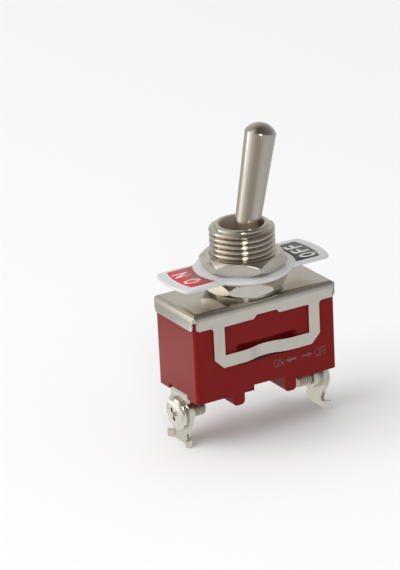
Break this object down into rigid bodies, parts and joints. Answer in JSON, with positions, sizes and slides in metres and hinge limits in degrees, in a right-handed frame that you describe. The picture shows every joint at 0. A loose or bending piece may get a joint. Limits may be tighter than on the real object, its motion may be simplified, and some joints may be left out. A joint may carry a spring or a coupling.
{
  "type": "toggle switch",
  "caption": "Panel toggle switch with a moulded case, plated cover with holding straps, threaded bushing, nuts, ON/OFF tag, bat lever, rocker contact and screw terminals.",
  "frame": {"origin": "on the bushing axis, at the top face of the upper nut, where a panel seats", "axes": "+Z along the bushing towards the lever, +X from the ON side to the OFF side, so that the lever leans towards +X at rest"},
  "size_m": [0.0324, 0.018, 0.057],
  "materials": {
    "red_phenolic": "red moulded phenolic with a soft sheen",
    "cover_sheet": "nickel-plated pressed steel sheet",
    "plated_bushing": "nickel-plated turned brass",
    "plated_nut": "nickel-plated steel",
    "washer_steel": "nickel-plated spring steel",
    "tag_sheet": "printed aluminium sheet under clear lacquer",
    "plated_lever": "nickel-plated turned brass",
    "pin_steel": "ground steel",
    "nylon": "moulded nylon",
    "spring_steel": "drawn spring wire",
    "contact_brass": "pressed brass",
    "silver": "silver contact alloy",
    "terminal_sheet": "nickel-plated brass sheet",
    "rivet_brass": "turned brass",
    "plated_screw": "nickel-plated steel"
  },
  "bodies": {
    "housing": {"case": "red_phenolic", "cover": "cover_sheet", "bushing": "plated_bushing", "lower_nut": "plated_nut", "lock_washer": "washer_steel", "onoff_tag": "tag_sheet", "upper_nut": "plated_nut", "pivot_pin": "pin_steel", "rocker_axle": "pin_steel", "cradle": "contact_brass", "common_terminal": "terminal_sheet", "fixed_terminal": "terminal_sheet", "fixed_contact": "silver", "cradle_rivet": "rivet_brass", "terminal_rivet": "rivet_brass", "left_screw": "plated_screw", "right_screw": "plated_screw"},
    "bat_lever": {"lever": "plated_lever", "plunger_spring": "spring_steel"},
    "tip_plunger": {"plunger": "nylon"},
    "rocker_bar": {"rocker": "contact_brass", "moving_contact": "silver"}
  },
  "joints": [
    {"name": "lever_hinge", "type": "hinge", "parent": "housing", "child": "bat_lever", "pos_m": [0, 0, -0.0008], "axis": [0, -1, 0], "range_deg": [0, 24]},
    {"name": "plunger_slide", "type": "slide", "parent": "bat_lever", "child": "tip_plunger", "axis": [0.2079, 0, 0.9781], "range_m": [0, 0.0006], "stiffness_N_per_m": 400, "springref_m": -0.003, "deforming": ["plunger_spring"]},
    {"name": "rocker_hinge", "type": "hinge", "parent": "housing", "child": "rocker_bar", "pos_m": [0, 0, -0.014], "axis": [0, 1, 0], "range_deg": [0, 12]}
  ],
  "couplings": [
    {"joint": "rocker_hinge", "follows": "lever_hinge", "ratio": 0.5}
  ]
}
